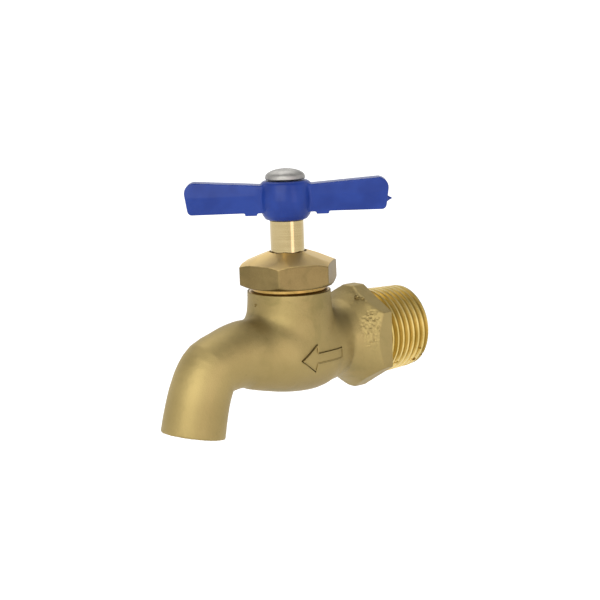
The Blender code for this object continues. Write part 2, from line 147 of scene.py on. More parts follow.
def smoothPath(knots, steps):
    # knots of (y, z, heading, reach, radius); headings in degrees from +Y towards +Z
    path = []
    radii = [knot[4] for knot in knots]
    for i, (start, end) in enumerate(zip(knots, knots[1:])):
        ends = []
        for y, z, heading, reach, _ in (start, end):
            way = Vector((math.cos(math.radians(heading)), math.sin(math.radians(heading))))
            ends.append((Vector((y, z)), way * reach))
        (p0, out), (p3, into) = ends
        p1, p2 = p0 + out, p3 - into
        before, after = radii[max(i - 1, 0)], radii[min(i + 2, len(radii) - 1)]
        for step in range(steps + (i == len(knots) - 2)):
            t = step / steps
            u = 1 - t
            spot = u ** 3 * p0 + 3 * u * u * t * p1 + 3 * u * t * t * p2 + t ** 3 * p3
            way = u * u * (p1 - p0) + 2 * u * t * (p2 - p1) + t * t * (p3 - p2)
            slopeIn, slopeOut = (end[4] - before) / 2, (after - start[4]) / 2
            radius = ((2 * t ** 3 - 3 * t * t + 1) * start[4] + (t ** 3 - 2 * t * t + t) * slopeIn
                      + (3 * t * t - 2 * t ** 3) * end[4] + (t ** 3 - t * t) * slopeOut)
            path.append((spot.x, spot.y, math.atan2(way.y, way.x) % (2 * math.pi), radius))
    return path


def swept(name, knots, steps=10, sides=72):
    # a round bar drawn along a path beside the stem's axis
    path = smoothPath(knots, steps)
    y, z, heading, radius = path[0]
    bpy.ops.object.select_all(action="DESELECT")
    bpy.ops.mesh.primitive_circle_add(vertices=sides, radius=radius * mm, fill_type="NGON",
                                      location=(0, (stemY + y) * mm, z * mm),
                                      rotation=(heading - math.pi / 2, 0, 0))
    piece = nameIt(name)
    bpy.ops.object.mode_set(mode="EDIT")
    for nextY, nextZ, nextHeading, nextRadius in path[1:]:
        bpy.ops.mesh.extrude_region_move(
            TRANSFORM_OT_translate={"value": (0, (nextY - y) * mm, (nextZ - z) * mm)})
        centre = (0, (stemY + nextY) * mm, nextZ * mm)
        bpy.ops.transform.rotate(value=heading - nextHeading, orient_axis="X", center_override=centre)
        grow = nextRadius / radius
        bpy.ops.transform.resize(value=(grow, grow, grow), center_override=centre)
        y, z, heading, radius = nextY, nextZ, nextHeading, nextRadius
    closeShell()
    return piece


def flatBar(name, flats, bottom, top, cornerTurn=0.0, sides=6):
    # hexagonal, or square with four sides, by its width across flats
    bpy.ops.object.select_all(action="DESELECT")
    bpy.ops.mesh.primitive_cylinder_add(vertices=sides, depth=(top - bottom) * mm,
                                        radius=flats / 2 / math.cos(math.pi / sides) * mm,
                                        location=(0, 0, (top + bottom) / 2 * mm))
    piece = nameIt(name)
    first = piece.data.vertices[0].co
    return move(piece, turn=(0, 0, cornerTurn - math.atan2(first.y, first.x)))


def block(name, size, centre):
    bpy.ops.object.select_all(action="DESELECT")
    bpy.ops.mesh.primitive_cube_add(size=1, location=[value * mm for value in centre],
                                    scale=[value * mm for value in size])
    return nameIt(name)


def threadTooth(name, root, crest, pitch, bottom, top, taper=0.0, steps=96, flat=0.14):
    # one tooth of the thread wound upwards; taper widens it below its top
    sunk = root - 0.4
    outline = ((sunk, -0.6), (root, -0.44), (crest, -flat), (crest, flat), (root, 0.44), (sunk, 0.6))
    bpy.ops.object.select_all(action="DESELECT")
    bpy.ops.mesh.primitive_circle_add(vertices=len(outline), radius=mm, fill_type="NOTHING")
    piece = nameIt(name)
    for vertex, (radius, share) in zip(piece.data.vertices, outline):
        vertex.co = (radius * mm, 0, (bottom + share * pitch) * mm)
    wind = piece.modifiers.new("wind", "SCREW")
    wind.steps = wind.render_steps = steps
    wind.screw_offset = pitch * mm
    wind.iterations = math.ceil((top - bottom) / pitch)
    applyStack(piece)
    bpy.ops.object.mode_set(mode="EDIT")
    bpy.ops.mesh.select_mode(type="EDGE")
    bpy.ops.mesh.select_all(action="DESELECT")
    bpy.ops.mesh.select_non_manifold()
    bpy.ops.mesh.fill_holes(sides=len(outline))
    closeShell()
    for vertex in piece.data.vertices:
        radius = math.hypot(vertex.co.x, vertex.co.y)
        wider = 1 + taper * (top * mm - vertex.co.z) / radius
        vertex.co.x *= wider
        vertex.co.y *= wider
    return piece


def castSkin(piece, voxel, passes):
    # turns sharp joints into the soft ones of a casting
    skin = piece.modifiers.new("skin", "REMESH")
    skin.mode = "VOXEL"
    skin.voxel_size = voxel * mm
    soften = piece.modifiers.new("soften", "SMOOTH")
    soften.factor = 0.5
    soften.iterations = passes
    return applyStack(piece)


def softenWhere(piece, name, share, passes):
    group = piece.vertex_groups.new(name=name)
    for vertex in piece.data.vertices:
        weight = share(vertex.co / mm)
        if weight > 0.01:
            group.add([vertex.index], min(weight, 1.0), "REPLACE")
    soften = piece.modifiers.new(name, "SMOOTH")
    soften.factor = 0.5
    soften.iterations = passes
    soften.vertex_group = name
    applyStack(piece)
    piece.vertex_groups.remove(piece.vertex_groups[name])


def cutFlat(piece, point, way):
    # cuts flat, drops what lies beyond and closes the cut
    pickOnly(piece)
    bpy.ops.object.mode_set(mode="EDIT")
    bpy.ops.mesh.select_all(action="SELECT")
    bpy.ops.mesh.bisect(plane_co=[value * mm for value in point], plane_no=way, use_fill=True,
                        clear_outer=True, threshold=0.001 * mm)
    bpy.ops.object.mode_set(mode="OBJECT")


def rise(start, end, value):
    t = min(max((value - start) / (end - start), 0.0), 1.0)
    return t * t * (3 - 2 * t)


def dress(piece, *colours):
    piece.data.materials.clear()
    for colour in colours:
        piece.data.materials.append(colour)


def finishPiece(piece, body):
    pickOnly(piece)
    bpy.ops.object.shade_smooth_by_angle(angle=sharpFrom)
    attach(piece, body)
    print(piece.name, len(piece.data.polygons), "faces")
    return piece


# materials

class Wire:
    def __init__(self, sheet, socket):
        self.sheet, self.socket = sheet, socket

    def __add__(self, other):
        return self.sheet.maths("ADD", self, other)

    def __sub__(self, other):
        return self.sheet.maths("SUBTRACT", self, other)

    def __rsub__(self, other):
        return self.sheet.maths("SUBTRACT", other, self)

    def __mul__(self, other):
        return self.sheet.maths("MULTIPLY", self, other)

    def __pow__(self, other):
        return self.sheet.maths("POWER", self, other)

    __radd__ = __add__
    __rmul__ = __mul__


class Sheet:
    def __init__(self, name, room=None):
        self.material = room or bpy.data.materials.new(name)
        self.material.use_nodes = True
        self.tree = self.material.node_tree
        self.shader = self.tree.nodes.get("Principled BSDF")
        self.place = self.node("ShaderNodeTexCoord", out="Generated" if room else "Object")

    def feed(self, socket, value):
        if isinstance(value, Wire):
            self.tree.links.new(value.socket, socket)
        else:
            socket.default_value = value

    def node(self, kind, settings=None, values=None, out=0):
        node = self.tree.nodes.new(kind)
        for key, value in (settings or {}).items():
            setattr(node, key, value)
        for key, value in (values or {}).items():
            self.feed(node.inputs[key], value)
        return Wire(self, node.outputs[out])

    def maths(self, operation, first, second):
        return self.node("ShaderNodeMath", {"operation": operation}, {0: first, 1: second})

    def noise(self, scale, detail=2.0, rough=0.5, twist=0.0, at=None):
        return self.node("ShaderNodeTexNoise", None,
                         {"Vector": at or self.place, "Scale": scale, "Detail": detail,
                          "Roughness": rough, "Distortion": twist})

    def spread(self, wire, low, high):
        # 0 at low, 1 at high
        return self.node("ShaderNodeMapRange", {"interpolation_type": "SMOOTHSTEP"},
                         {"Value": wire, "From Min": low, "From Max": high})

    def mix(self, share, first, second, blend="MIX"):
        tones = [tone if isinstance(tone, Wire) else (*tone, 1) for tone in (first, second)]
        return self.node("ShaderNodeMix", {"data_type": "RGBA", "blend_type": blend},
                         {0: share, 6: tones[0], 7: tones[1]}, out=2)

    def bump(self, height, depth, strength=1.0, under=None):
        values = {"Height": height, "Distance": depth * mm, "Strength": strength}
        if under:
            values["Normal"] = under
        return self.node("ShaderNodeBump", None, values)

    def axes(self, of=None):
        split = self.tree.nodes.new("ShaderNodeSeparateXYZ")
        self.feed(split.inputs[0], self.node("ShaderNodeTexCoord", out=of) if of else self.place)
        return [Wire(self, split.outputs[i]) for i in range(3)]

    def paint(self, **values):
        names = {"colour": "Base Color", "rough": "Roughness", "metal": "Metallic", "normal": "Normal",
                 "coat": "Coat Weight", "coatRough": "Coat Roughness", "specular": "Specular IOR Level"}
        for key, value in values.items():
            if key == "colour" and not isinstance(value, Wire):
                value = (*value, 1)
            self.feed(self.shader.inputs[names[key]], value)
        return self.material


def shade(colour, share):
    return tuple(share * value for value in colour)


paintedLightZones = {                           # where painted light and shade fade in, from none to full, in mm
    "spoutEnd": (-55, -64), "bellyTop": (10, 3), "bellyFoot": (-10, -3), "hexagon": (-28, -20),
    "waistFront": (-31, -27), "waistBack": (-21.5, -24.5), "waistTop": (1, 8),
    "endRim": (-1.3, -0.5), "neckRing": (-20, -24)}


def zone(sheet, wire, name):
    start, full = paintedLightZones[name]
    return sheet.spread(wire, start * mm, full * mm)


def castBrass(name, dark, light, rough, grain=0.05, withPaintedLight=False, cutAndLitTop=False):
    sheet = Sheet(name)
    cloud = sheet.noise(55, 2)
    mottle = sheet.noise(420, 4, 0.6)
    sand = sheet.noise(3400, 2, 0.6)
    tone = sheet.spread(cloud * 0.5 + mottle * 0.25 + sand * 0.25, 0.3, 0.7)
    colour = sheet.mix(tone, dark, light)
    soot = sheet.spread(sheet.noise(900, 3, 0.55), 0.66, 0.76)
    colour = sheet.mix(soot * 0.3, colour, shade(dark, 0.5))
    patina = sheet.spread(sheet.noise(150, 3, 0.6, 0.8), 0.5, 0.72)
    colour = sheet.mix(patina * 0.4, colour, (0.72 * dark[0], 0.8 * dark[1], 0.75 * dark[2]))
    if withPaintedLight:                    # painted highlight on the spout's end, the bowl's belly and the hexagon, painted shade in the waist
        along, height = sheet.axes()[1:]
        belly = zone(sheet, height, "bellyTop") * zone(sheet, height, "bellyFoot")
        # painted highlight on the spout's end and the bowl's belly
        paintedHighlight = zone(sheet, along, "spoutEnd") * 0.25 + belly * 0.25
        colour = sheet.mix(paintedHighlight, colour, shade(light, 1.4))
        # painted shade in the waist, where the neck meets the hexagon's top
        waist = zone(sheet, along, "waistFront") * zone(sheet, along, "waistBack")
        colour = sheet.mix(waist * zone(sheet, height, "waistTop") * 0.6, colour, shade(dark, 0.5))
        # painted highlight over the hexagon
        colour = sheet.mix(zone(sheet, along, "hexagon") * 0.12, colour, shade(light, 1.3))
    if cutAndLitTop:                     # the nut's sloping top is machined, and its upward faces also carry a painted highlight
        up = sheet.spread(sheet.axes("Normal")[2], 0.35, 0.8)
        colour = sheet.mix(up, colour, shade(light, 2.9))
    normal = sheet.bump(sand, grain)
    normal = sheet.bump(mottle, 0.06, 0.5, normal)
    uneven = mottle * 0.14 + sand * 0.1 + (rough - 0.12)
    return sheet.paint(colour=colour, rough=uneven, metal=1.0, normal=normal)


def cutBrass(name, dark, light, rough, lines=0.0, axis=2, paintedShade=False):
    # fresh from the lathe: bright, with fine rings round the axis
    sheet = Sheet(name)
    cloud = sheet.noise(160, 2)
    stretch = [26000 if i == axis else 60 for i in range(3)]
    streak = sheet.node("ShaderNodeMapping", None, {"Vector": sheet.place, "Scale": stretch})
    rings = sheet.noise(0.12, 2, 0.6, at=streak)
    colour = sheet.mix(sheet.spread(cloud * 0.6 + rings * 0.4, 0.35, 0.65), dark, light)
    if paintedShade:                      # painted shade in the grooves, in patches, and on the end rim, and painted shade on the machined ring under the nut
        x, y, z = sheet.axes()
        out = (x * x + z * z) ** 0.5 + y * pipe["taper"]
        # painted shade in the thread's grooves, in patches
        crest = sheet.spread(out, pipe["root"] * mm, (pipe["crest"] - 0.1) * mm)
        shadePatches = sheet.spread(cloud, 0.3, 0.7) * 0.35 + 0.4
        colour = sheet.mix((1 - crest) * shadePatches, colour, shade(dark, 0.4))
        # painted shade on the thread's end rim
        colour = sheet.mix(zone(sheet, y, "endRim") * 0.6, colour, shade(dark, 0.3))
        # painted shade on the machined ring under the nut
        colour = sheet.mix(zone(sheet, y, "neckRing") * 0.7, colour, (0.30, 0.165, 0.04))
    return sheet.paint(colour=colour, rough=rings * 0.08 + (rough - 0.04), metal=1.0,
                       normal=sheet.bump(rings, 0.0006 + lines))


pipe = {"pitch": 25.4 / 14, "taper": 1 / 32, "crest": 10.5, "root": 9.2, "length": 14.7,
        "sunk": 4,                 # how far its core runs on into the hexagon
        "toothStart": 2.2, "toothEnd": 0.6,            # past the thread's two ends
        "chamfer": 0.7, "chamferWide": 0.75, "sides": 120, "bore": 6.5, "boreDepth": 27.9,
        "nicks": [((7.8, -9.7, -7.2), 0.55), ((7.5, -4.1, -7.6), 0.5), ((6.7, -2.6, -7.7), 0.6),
                  ((9.2, -2.7, -4.4), 0.45), ((7.9, -0.9, -6.2), 0.6), ((5.0, -4.2, -9.3), 0.5)]}

castColour = castBrass("castBrass", (0.245, 0.181, 0.068), (0.325, 0.251, 0.103), 0.55, withPaintedLight=True)
nutColour = castBrass("forgedBrass", (0.155, 0.110, 0.042), (0.235, 0.171, 0.068), 0.46, 0.03, cutAndLitTop=True)
threadColour = cutBrass("cutBrass", (0.52, 0.385, 0.115), (0.74, 0.56, 0.21), 0.32, 0.002, 1, paintedShade=True)
stemColour = cutBrass("polishedBrass", (0.40, 0.31, 0.15), (0.46, 0.365, 0.19), 0.14)
innerColour = cutBrass("turnedBrass", (0.60, 0.44, 0.18), (0.78, 0.60, 0.30), 0.28)


def blueCoat():
    sheet = Sheet("blueCoat")
    flow = sheet.noise(140, 2)
    peel = sheet.noise(900, 2)
    colour = sheet.mix(sheet.spread(flow, 0.35, 0.65), (0.006, 0.024, 0.16), (0.010, 0.034, 0.20))
    normal = sheet.bump(peel, 0.02)
    normal = sheet.bump(flow, 0.15, 0.5, normal)
    return sheet.paint(colour=colour, rough=peel * 0.1 + 0.36, normal=normal, coat=0.1, coatRough=0.1,
                       specular=0.16)


def dullNickel():
    sheet = Sheet("dullNickel")
    cloud = sheet.noise(500, 3)
    fine = sheet.noise(4000, 2)
    colour = sheet.mix(sheet.spread(cloud, 0.35, 0.65), (0.265, 0.255, 0.24), (0.36, 0.35, 0.325))
    return sheet.paint(colour=colour, rough=cloud * 0.16 + 0.42, metal=1.0,
                       normal=sheet.bump(fine, 0.008))


def rubberLike(name, dark, light, rough):
    sheet = Sheet(name)
    speck = sheet.noise(2600, 3, 0.6)
    colour = sheet.mix(sheet.spread(speck, 0.4, 0.65), dark, light)
    return sheet.paint(colour=colour, rough=speck * 0.2 + rough, normal=sheet.bump(speck, 0.03))


blueColour = blueCoat()
nickelColour = dullNickel()
packingColour = rubberLike("graphitePacking", (0.04, 0.04, 0.045), (0.13, 0.13, 0.135), 0.45)
rubberColour = rubberLike("blackRubber", (0.018, 0.018, 0.018), (0.045, 0.044, 0.042), 0.6)
print("materials made")


# body: spout, bowl, neck, hexagon and pipe thread in one casting

body = {
    "path": [                      # y from the stem, z, heading, reach, radius
        (14.5, 0, 180, 3.5, 8.6),
        (9.0, -0.5, 180, 2.5, 9.5),
        (3.5, -0.8, 180, 3.0, 10.25),
        (-5.0, 0.2, 180, 3.5, 10.45),
        (-13.0, 0.3, 170, 3.5, 8.4),
        (-23.2, -0.9, 194, 4.0, 7.25),
        (-30.3, -16.3, 257.8, 5.0, 7.6),
        (-30.72, -18.25, 257.8, 0.6, 7.6)],
    "outlet": (-30.3, -16.3),
    "outletTilt": math.radians(12.2),
    "neck": [(7.0, -6.0), (9.6, -2.0), (10.4, 1.0), (10.35, 6.5), (10.1, 10.5), (9.95, 12.5),
             (9.85, 14.6)],
    "neckCut": 14.1,
    "machined": [(8.0, 12.5), (9.75, 14.1), (9.5, 14.35), (8.95, 14.5), (8.95, 15.1), (8.5, 15.1),
                 (8.5, 18.4), (8.1, 18.8)],
    "neckThread": (8.5, 9.05, 1.27, 15.0, 18.0),   # root, crest, pitch, bottom, top
    "beads": [                     # sand blemishes: place, size
        ((4.8, -19.7, 10.5), 0.62), ((6.2, -19.0, 10.2), 0.5), ((-0.8, -47.0, 11.5), 0.42),
        ((-5.5, -21.0, -9.2), 0.45), ((2.0, -60.5, 3.2), 0.35)],
    "pits": [((6.3, -22.2, 7.9), 0.34), ((9.3, -33.0, -5.5), 0.25), ((10.4, -19.5, 6.6), 0.25),
             ((-8.0, -55.0, 1.0), 0.3)],
    "waves": [(0.035, 0.35), (0.012, 1.3)],        # the skin's unevenness: depth, fineness
    "roughPatch": ((10.6, -20.4, 4.0), (2.6, 2.8, 6.4), 0.26, 2.1),    # place, reach, depth, fineness
    "patchEdge": (1.15, 0.7),
    "barrel": (-39.5, 8.5, 0.07),  # where the bowl bulges to the sides, how far along, how much
    "barrelFade": (2.2, 0.4),
    "hexFlats": 24.0,
    "hexBack": -14.7,
    "flare": [(8.2, -26.0), (8.5, -24.4), (9.7, -21.8), (11.5, -19.5), (13.95, -17.2), (13.95, -13.2)],
    "trim": (12.8, -13.2),         # top and bottom corner, ground along the parting line
    "voxel": 0.3,
    "bowlFrom": (-24.0, -27.0),    # the softened parts, each from none to full
    "waist": ((-28.0, -26.4), (-22.2, -23.8)),
    "throatHeights": ((13.2, 11.5), (-2.0, 3.5)),
    "throatReach": ((14.8, 13.4), (7.0, 8.5)),
    "passes": {"all": 2, "bowlAndSpout": 5, "throat": 220, "waist": 30},
    "spoutWater": [
        (-4.2, 1.9, 190, 2.5, 4.2),
        (-13.0, 0.3, 170, 3.5, 5.9),
        (-23.3, -1.0, 194, 4.0, 5.4),
        (-30.6, -16.8, 257.8, 5.0, 5.8),
        (-31.2, -19.6, 257.8, 0.6, 5.8)],
    "underSeat": [
        (12.5, -2.4, 215, 1.5, 2.8),
        (7.0, -5.9, 180, 2.0, 2.8),
        (0, -5.9, 180, 2.0, 2.8)],
    "bores": [(3.5, -5.6), (3.5, -1.0), (4.6, -1.0), (5.0, -2.0), (6.6, -2.0), (6.6, 4.5), (6.1, 5.0),
              (6.1, 14.5), (7.3, 14.5), (7.3, 20.0)],
}
alongPipe = (-math.pi / 2, 0, 0)


def inletHex():
    hexagon = turned("flare", body["flare"], pipe["sides"])
    cut(hexagon, flatBar("hexSides", body["hexFlats"], -40, 5, math.pi / 2), how="INTERSECT")
    move(hexagon, turn=alongPipe)
    top, bottom = body["trim"]
    trim = block("trim", (40, 80, top - bottom), (0, -20, (top + bottom) / 2))
    return cut(hexagon, trim, how="INTERSECT")


def pipeThread():
    root, crest, length, sides = pipe["root"], pipe["crest"], pipe["length"], pipe["sides"]
    end = length + pipe["sunk"]
    core = turned("pipeThread", [(root + pipe["taper"] * end, -end), (root, 0)], sides)
    join(core, threadTooth("tooth", root, crest, pipe["pitch"], -length - pipe["toothStart"],
                           pipe["toothEnd"], pipe["taper"]))
    blank = turned("blank", [(crest + pipe["taper"] * end + 0.1, -end), (crest - 0.05, -pipe["chamfer"]),
                             (crest - pipe["chamferWide"], 0)], sides)
    cut(core, blank, how="INTERSECT")
    move(core, turn=alongPipe)
    for i, (place, size) in enumerate(pipe["nicks"]):
        cut(core, ball("nick%d" % i, place, size))
    return core


def offsetSkin(shell, height):
    skin = copyOf(shell, "offsetSkin")
    offset = skin.modifiers.new("offset", "DISPLACE")
    offset.strength = height * mm
    offset.mid_level = 0
    return applyStack(skin)


flowMark = {"middle": 2.6, "length": 8.5, "width": 2.4, "headLength": 4.6, "headGrow": 2.8, "deep": 6,
            "place": (7.5, stemY + 0.6, -1.2), "raised": 0.6, "lineDepth": 0.35, "lineWidth": 0.4}


def flowArrow(shell):
    # a raised arrow on the bowl that follows its curve, with a shallow line all round it
    middle = (flowMark["middle"] * mm, 0, 0)
    bpy.ops.object.select_all(action="DESELECT")
    bpy.ops.mesh.primitive_plane_add(size=1, location=middle)
    arrow = nameIt("flowArrow")
    bpy.ops.object.mode_set(mode="EDIT")
    bpy.ops.transform.resize(value=(flowMark["length"] * mm, flowMark["width"] * mm, 1),
                             center_override=middle)
    bpy.ops.mesh.select_mode(type="VERT")
    bpy.ops.mesh.select_all(action="DESELECT")
    bpy.ops.object.mode_set(mode="OBJECT")
    for vertex in arrow.data.vertices:
        vertex.select = vertex.co.x < 0
    bpy.ops.object.mode_set(mode="EDIT")
    shaftEnd = ((flowMark["middle"] - flowMark["length"] / 2) * mm, 0, 0)
    for ahead, grow in ((0, flowMark["headGrow"]), (flowMark["headLength"], 0.001)):
        bpy.ops.mesh.extrude_region_move(TRANSFORM_OT_translate={"value": (-ahead * mm, 0, 0)})
        bpy.ops.transform.resize(value=(1, grow, 1), center_override=shaftEnd)
    bpy.ops.mesh.select_all(action="SELECT")
    bpy.ops.mesh.remove_doubles(threshold=0.02 * mm)
    bpy.ops.mesh.extrude_region_move(TRANSFORM_OT_translate={"value": (0, 0, flowMark["deep"] * mm)})
    closeShell()
    move(arrow, turn=(math.pi / 2, 0, math.pi / 2))
    move(arrow, flowMark["place"])
    groove = copyOf(arrow, "arrowGroove")
    bpy.ops.object.mode_set(mode="EDIT")
    bpy.ops.mesh.select_all(action="SELECT")
    bpy.ops.transform.shrink_fatten(value=flowMark["lineWidth"] * mm)
    bpy.ops.object.mode_set(mode="OBJECT")
    cut(shell, cut(groove, offsetSkin(shell, -flowMark["lineDepth"])))
    cut(arrow, offsetSkin(shell, flowMark["raised"]), how="INTERSECT")
    pickOnly(arrow)
    bpy.ops.object.mode_set(mode="EDIT")
    closeShell()
    return arrow


def ball(name, place, size):
    bpy.ops.object.select_all(action="DESELECT")
    bpy.ops.mesh.primitive_ico_sphere_add(subdivisions=3, radius=size * mm,
                                          location=[value * mm for value in place])
    piece = nameIt(name)
    for vertex in piece.data.vertices:         # knocked a little out of round
        vertex.co += (vertex.co - Vector(place) * mm) * 0.5 * noise.noise(vertex.co / (size * mm) * 0.9)
    return piece


def sandSkin(shell):
    # the casting's own unevenness, and its few blemishes
    centre, reach, depth, fineness = body["roughPatch"]
    normals = [vertex.normal.copy() for vertex in shell.data.vertices]
    for vertex, normal in zip(shell.data.vertices, normals):
        at = vertex.co / mm
        away = Vector([(at[i] - centre[i]) / reach[i] for i in range(3)]).length
        wave = sum(deep * noise.noise(at * fine) for deep, fine in body["waves"])
        wave += depth * rise(*body["patchEdge"], away) * noise.noise(at * fineness)
        vertex.co += normal * wave * mm
    for i, (place, size) in enumerate(body["beads"]):
        join(shell, ball("bead%d" % i, place, size))
    for i, (place, size) in enumerate(body["pits"]):
        cut(shell, ball("pit%d" % i, place, size))


def throatShare(at):
    out = math.hypot(at.x, at.y - stemY)
    (top, topFull), (low, lowFull) = body["throatHeights"]
    (outer, outerFull), (inner, innerFull) = body["throatReach"]
    return (rise(top, topFull, at.z) * rise(low, lowFull, at.z)
            * rise(outer, outerFull, out) * rise(inner, innerFull, out))


def castBody():
    shell = swept("valveBody", body["path"], 12, 80)
    join(shell, move(turned("neck", body["neck"]), (0, stemY, 0)), inletHex())
    middle, reach, more = body["barrel"]
    for vertex in shell.data.vertices:
        vertex.co.x *= 1 + more * rise(*body["barrelFade"], abs(vertex.co.y / mm - middle) / reach)
    tilt = body["outletTilt"]
    outY, outZ = body["outlet"]
    cutFlat(shell, (0, stemY + outY, outZ), (0, -math.sin(tilt), -math.cos(tilt)))
    passes = body["passes"]
    castSkin(shell, body["voxel"], passes["all"])
    front, back = body["waist"]
    softenWhere(shell, "bowlAndSpout", lambda at: rise(*body["bowlFrom"], at.y), passes["bowlAndSpout"])
    softenWhere(shell, "throat", throatShare, passes["throat"])
    softenWhere(shell, "waist", lambda at: rise(*front, at.y) * rise(*back, at.y), passes["waist"])
    print("casting blended,", len(shell.data.polygons), "faces")
    sandSkin(shell)
    cutFlat(shell, (0, 0, body["neckCut"]), (0, 0, 1))
    cutFlat(shell, (0, body["hexBack"], 0), (0, 1, 0))
    join(shell, flowArrow(shell))
    brightPieces = [move(turned("machinedNeck", body["machined"]), (0, stemY, 0)), pipeThread(),
                    move(threadTooth("neckTooth", *body["neckThread"]), (0, stemY, 0))]
    inletBore = turned("inletBore", [(pipe["bore"], -pipe["boreDepth"]), (pipe["bore"], 1)], 72)
    bores = [move(turned("bores", body["bores"]), (0, stemY, 0)),
             swept("spoutWater", body["spoutWater"], 10, 56), swept("underSeat", body["underSeat"], 8, 40),
             move(inletBore, turn=alongPipe)]
    dress(shell, castColour, threadColour)
    for tool in brightPieces + bores:
        dress(tool, castColour, threadColour)
        for face in tool.data.polygons:            # only the curved waterways are left as cast
            face.material_index = 0 if tool in bores[1:3] else 1
    join(shell, *brightPieces)
    cut(shell, *bores)
    pickOnly(shell)
    bpy.ops.object.mode_set(mode="EDIT")
    closeShell()
    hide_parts("valve_body")
    return finishPiece(shell, "valve")


castBody()


# packing nut

nut = {"flats": 21.6, "corner": math.radians(10.2), "slope": 0.437, "mouth": 4.65, "bore": 9.35,
       "ceiling": 19.4, "voxel": 0.2, "footChamfer": 1.0,
       "facetDrop": 3.2, "facetWide": 1.9, "facetNarrow": 0.2, "facetPeak": 0.6}


def packingNut():
    low, high = nutLow.z / mm, nutHigh.z / mm
    corner = nut["flats"] / 2 / math.cos(math.pi / 6) + 0.2
    edge = high + 0.1 - nut["slope"] * (corner - nut["mouth"])
    foot = edge - nut["facetDrop"]
    piece = turned("packingNut", [(nut["flats"] / 2 - 0.2, low), (corner, low + nut["footChamfer"]),
                                  (corner, edge), (nut["mouth"] - 1, high + nut["slope"] + 0.1)])
    sides = flatBar("nutSides", nut["flats"], low - 1, high + 2, nut["corner"])
    cut(piece, sides, how="INTERSECT")
    facets = flatBar("nutFacets", nut["flats"], low - 1, high + 3, nut["corner"])
    for vertex in facets.data.vertices:       # draws the hexagon's top in to a blunt pyramid
        atTop = vertex.co.z > high * mm
        grow = nut["facetNarrow"] if atTop else nut["facetWide"]
        vertex.co.x *= grow
        vertex.co.y *= grow
        vertex.co.z = (high + nut["facetPeak"] if atTop else foot) * mm
    join(facets, block("nutBase", (40, 40, foot - low + 1), (0, 0, (foot + low - 1) / 2)))
    cut(piece, facets, how="INTERSECT")
    castSkin(piece, nut["voxel"], 4)
    cut(piece, block("nutFoot", (40, 40, 10), (0, 0, low - 4.98)))
    inner = turned("nutBore", [(nut["bore"], low - 1), (nut["bore"], nut["ceiling"]),
                               (nut["mouth"] - 0.2, nut["ceiling"]), (nut["mouth"] - 0.2, high - 0.6),
                               (nut["mouth"] + 0.5, high + 0.6)], 96)
    cut(piece, inner)
    move(piece, (0, stemY, 0))
    dress(piece, nutColour)
    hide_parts("packing_nut")
    return finishPiece(piece, "valve")


packingNut()


# stem

stem = {"radius": 4.1, "bottom": 3.5, "threadTop": 9.7, "crest": 5.75, "root": 4.9, "pitch": 2.5,
        "shoulder": 31.17, "tang": 5.0, "tangTop": 38.3}


def stemPiece():
    r = stem["radius"]
    piece = turned("stemShaft", [(stem["root"] - 0.4, stem["bottom"]),
                                 (stem["root"], stem["bottom"] + 0.4),
                                 (stem["root"], stem["threadTop"] - 0.5), (r, stem["threadTop"]), (r, 12.0),
                                 (r, 22.0), (r, stem["shoulder"] - 0.1), (r - 0.1, stem["shoulder"])], 128)
    tooth = threadTooth("stemTooth", stem["root"], stem["crest"], stem["pitch"], stem["bottom"] + 0.6,
                        stem["threadTop"] - 2.0, steps=72)
    limit = turned("toothLimit", [(7, stem["bottom"] + 0.1), (7, stem["threadTop"] - 0.3)], 48)
    cut(tooth, limit, how="INTERSECT")
    join(piece, tooth, flatBar("tang", stem["tang"], stem["shoulder"] - 1, stem["tangTop"],
                              handleTurn + math.pi / 4, 4))
    cut(piece, turned("jumperSocket", [(2.6, stem["bottom"] - 1), (2.6, 8.0)], 48),
        turned("screwHole", [(2.2, 29.6), (2.2, stem["tangTop"] + 1)], 48))
    move(piece, (0, stemY, 0))
    dress(piece, stemColour)
    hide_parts("stem")
    return finishPiece(piece, "spindle")


stemPiece()


# handle

handle = {
    "hub": [(4.2, 31.2), (5.0, 31.45), (5.7, 32.4), (6.25, 34.0), (6.5, 36.0), (6.35, 38.4), (5.95, 40.1),
            (5.4, 40.6)],
    "reach": 24.4, "shift": 0.2, "bottom": 33.15, "topRoot": 39.8, "topTip": 40.85, "thick": 5.8,
    "mid": 37.2, "draft": 0.13,    # parting line, and how much the mould narrows away from it
    "halfHeight": 4.9, "wingFrom": (6.0, 8.0), "shiftFrom": (5.0, 8.0),
    "nub": (7.1, 10.0, 0.6),       # near, far, drop
    "upper": 2.5, "lower": 1.1,    # corner radii at the tips
    "spur": [(0.9, 0), (0.35, 0.75), (0.18, 1.2)], "spurHeight": 35.5, "voxel": 0.2,
}


def wingOutline():
    reach, bottom = handle["reach"], handle["bottom"]
    near, far, drop = handle["nub"]
    upper, lower = handle["upper"], handle["lower"]
    right = [(0, bottom), (near, bottom), (near, bottom - drop), (far, bottom - drop), (far, bottom + 0.05)]
    for degrees in range(-90, -9, 16):
        right.append((reach - 0.6 - lower + lower * math.cos(math.radians(degrees)),
                      bottom + lower + lower * math.sin(math.radians(degrees))))
    for degrees in range(0, 85, 14):
        right.append((reach - upper + upper * math.cos(math.radians(degrees)),
                      handle["topTip"] - upper + upper * math.sin(math.radians(degrees))))
    right += [(6.5, handle["topRoot"]), (0, handle["topRoot"] - 0.1)]
    return right + [(-x, z) for x, z in reversed(right[1:-1])]


